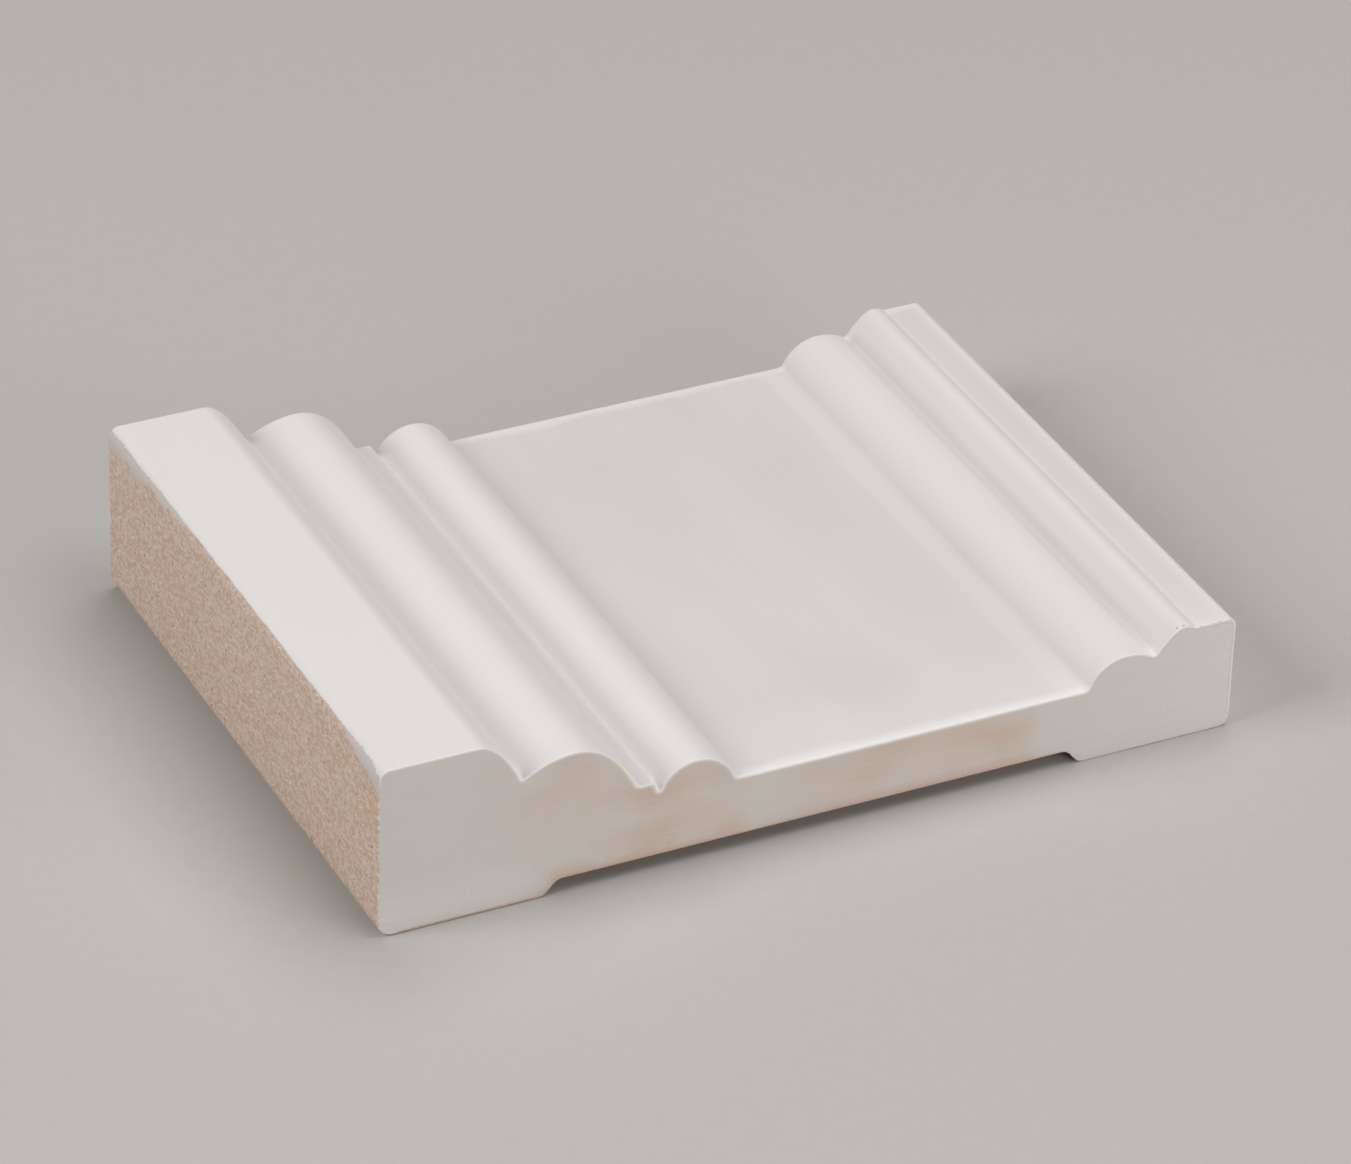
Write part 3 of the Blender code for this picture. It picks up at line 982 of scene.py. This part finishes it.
def sawn_end(finish):
    """Medium density fibreboard, cross-cut with a fine blade and dusted with primer.

    It gives a flat warm grey with the faint layers of the pressed board, paler at the thin end
    where the overspray is heavy. The board's brown shows through under the beads, where the gun
    reached least, and along the back.
    """
    material, add, place = new_material("cross_cut_mdf_with_overspray")
    showing, heavy, from_face, from_bare = (
        add("Attribute", output="Fac", attribute_name=name)
        for name in ("showing", "heavy", "from_face", "from_bare"))
    long, thick = PRESSED_LAYER
    pressed = add("Mapping", {"Vector": place, "Scale": (long * MM, long * MM, thick * MM)},
                  vector_type="TEXTURE")
    layers = add("TexNoise", {"Vector": pressed, "Scale": 1.0, "Detail": 3.0})
    grain = add("TexNoise", {"Vector": place, "Scale": 1 / (END_GRAIN * MM), "Detail": 3.0})
    uneven = add("Mix", {0: 0.65, 2: layers, 3: grain})

    spread = add("Math", {0: showing, 1: 1.2, 2: 0.2}, operation="MULTIPLY_ADD")
    patchy = add("Math", {0: uneven, 1: NOISE_MEAN}, operation="SUBTRACT")
    showing = add("Math", {0: patchy, 1: spread, 2: showing}, operation="MULTIPLY_ADD")
    heavy = add("Math", {0: uneven, 1: heavy}, operation="ADD")
    rim = add("Math", {0: grain, 1: -0.3, 2: from_face}, operation="MULTIPLY_ADD")
    rubbed = add("Math", {0: grain, 1: 0.4, 2: from_bare}, operation="MULTIPLY_ADD")
    colour = lay_over(add, finish.overspray, (heavy, 0.7, 1.7, finish.overspray_pale),
                      (showing, 0.0, 1.34, finish.board_dark),
                      (rim, 0.45, 0.25, finish.overspray),
                      (rubbed, 0.45, 0.3, finish.board_dark),
                      (rim, 0.12, -0.05, finish.overspray_pale))
    finish_shader(add, colour, 0.8, uneven, 0.02 * MM)
    return material


def milled_back(finish):
    """Medium density fibreboard, milled flat and left bare.

    It gives a plain light brown with fine cutter lines along the length.
    """
    material, add, place = new_material("milled_mdf_back")
    board, relief = bare_board(add, place, finish)
    wide, long = CUTTER_LINE
    along = add("Mapping", {"Vector": place, "Scale": (wide * MM, long * MM, wide * MM)},
                vector_type="TEXTURE")
    lines = add("TexNoise", {"Vector": along, "Scale": 1.0, "Detail": 2.0})
    relief = add("Math", {0: relief, 1: lines}, operation="ADD")
    finish_shader(add, board, 0.8, relief, 0.02 * MM)
    return material


def table_top(settings):
    """A plain painted board, matt, with the faint mottle of a roller."""
    material, add, place = new_material("rolled_matt_table_paint")
    mottle = add("TexNoise", {"Vector": place, "Scale": 1 / (ROLLER_MOTTLE * MM), "Detail": 2.0})
    darker = (*(MOTTLE_SHADE * channel for channel in settings.floor[:3]), 1.0)
    colour = lay_over(add, settings.floor, (mottle, 0.35, 0.65, darker))
    finish_shader(add, colour, 0.8, mottle, 0.01 * MM)
    return material


class CASING_OT_length(bpy.types.Operator):
    """Build the length of primed casing in place of its plain solid"""

    bl_idname = "casing.length"
    bl_label = "Build casing"

    def execute(self, context):
        sizes, finish = context.scene.casing_sizes, context.scene.casing_finish
        mesh = casing_mesh(sizes)
        for make in (sprayed_primer, sanded_edge, sawn_end, milled_back):
            mesh.materials.append(make(finish))
        casing = bpy.data.objects.new("primed_casing", mesh)
        context.scene.collection.objects.link(casing)
        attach(casing, "root")
        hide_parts("door_casing")
        return {"FINISHED"}


class CASING_OT_studio(bpy.types.Operator):
    """Set up the table, the soft lights and the camera"""

    bl_idname = "casing.studio"
    bl_label = "Set up studio"

    def execute(self, context):
        settings = context.scene.casing_studio
        self.make_table(context, settings)
        self.make_lights(context, settings)
        self.make_room(context, settings)
        self.make_camera(context, settings)
        context.scene.view_settings.view_transform = "Standard"
        return {"FINISHED"}

    def make_table(self, context, settings):
        bpy.ops.mesh.primitive_plane_add(size=TABLE_SIZE, location=(0.0, 0.0, 0.0))
        table = context.object
        table.name = "table_top"
        table.data.materials.append(table_top(settings))

    def make_lights(self, context, settings):
        for name, place, width, depth in SOFT_BOXES:
            light = bpy.data.lights.new(name, "AREA")
            light.shape = "RECTANGLE"
            light.size, light.size_y = width, depth
            light.energy = getattr(settings, name + "_power")
            lamp = bpy.data.objects.new(name + "_soft_box", light)
            lamp.location = place
            lamp.rotation_euler = (-lamp.location).to_track_quat("-Z", "Y").to_euler()
            context.scene.collection.objects.link(lamp)

    def make_room(self, context, settings):
        world = bpy.data.worlds.new("studio_room")
        world.use_nodes = True
        world.node_tree.nodes.clear()
        add = partial(add_node, world.node_tree)
        add("OutputWorld", {"Surface": add("Background", {"Strength": settings.room})})
        context.scene.world = world

    def make_camera(self, context, settings):
        azimuth, elevation, roll = settings.azimuth, settings.elevation, settings.roll
        back = Vector((math.sin(azimuth) * math.cos(elevation),
                       -math.cos(azimuth) * math.cos(elevation), math.sin(elevation)))
        right = Vector((math.cos(azimuth), math.sin(azimuth), 0.0))
        up = back.cross(right)
        camera_x = right * math.cos(roll) + up * math.sin(roll)
        camera_y = up * math.cos(roll) - right * math.sin(roll)
        camera = bpy.data.objects.new("camera", bpy.data.cameras.new("camera"))
        camera.data.lens = settings.lens
        camera.data.clip_start = 0.05
        turn = Matrix((camera_x, camera_y, back)).transposed().to_4x4()
        location = right * settings.aim_right + up * settings.aim_up + back * settings.distance
        camera.matrix_world = Matrix.Translation(location) @ turn
        context.scene.collection.objects.link(camera)
        context.scene.camera = camera


class CASING_PT_sidebar(bpy.types.Panel):
    """Sizes, colours and build buttons of the casing"""

    bl_idname = "CASING_PT_sidebar"
    bl_label = "Door casing"
    bl_space_type = "VIEW_3D"
    bl_region_type = "UI"
    bl_category = "Casing"

    def draw(self, context):
        steps = (("casing_sizes", "casing.length"), ("casing_finish", None),
                 ("casing_studio", "casing.studio"))
        for group_name, operator in steps:
            group = getattr(context.scene, group_name)
            box = self.layout.box()
            for name in group.__annotations__:
                box.prop(group, name)
            if operator:
                box.operator(operator)


GROUPS = {"casing_sizes": CasingSizes, "casing_finish": CasingFinish,
          "casing_studio": StudioSettings}
CLASSES = (*GROUPS.values(), CASING_OT_length, CASING_OT_studio, CASING_PT_sidebar)


def register():
    for item in CLASSES:
        bpy.utils.register_class(item)
    for name, group in GROUPS.items():
        setattr(bpy.types.Scene, name, PointerProperty(type=group))


def unregister():
    for name in GROUPS:
        delattr(bpy.types.Scene, name)
    for item in reversed(CLASSES):
        bpy.utils.unregister_class(item)


def main():
    register()
    bpy.ops.casing.studio()
    bpy.ops.casing.length()


if __name__ == "__main__":
    main()
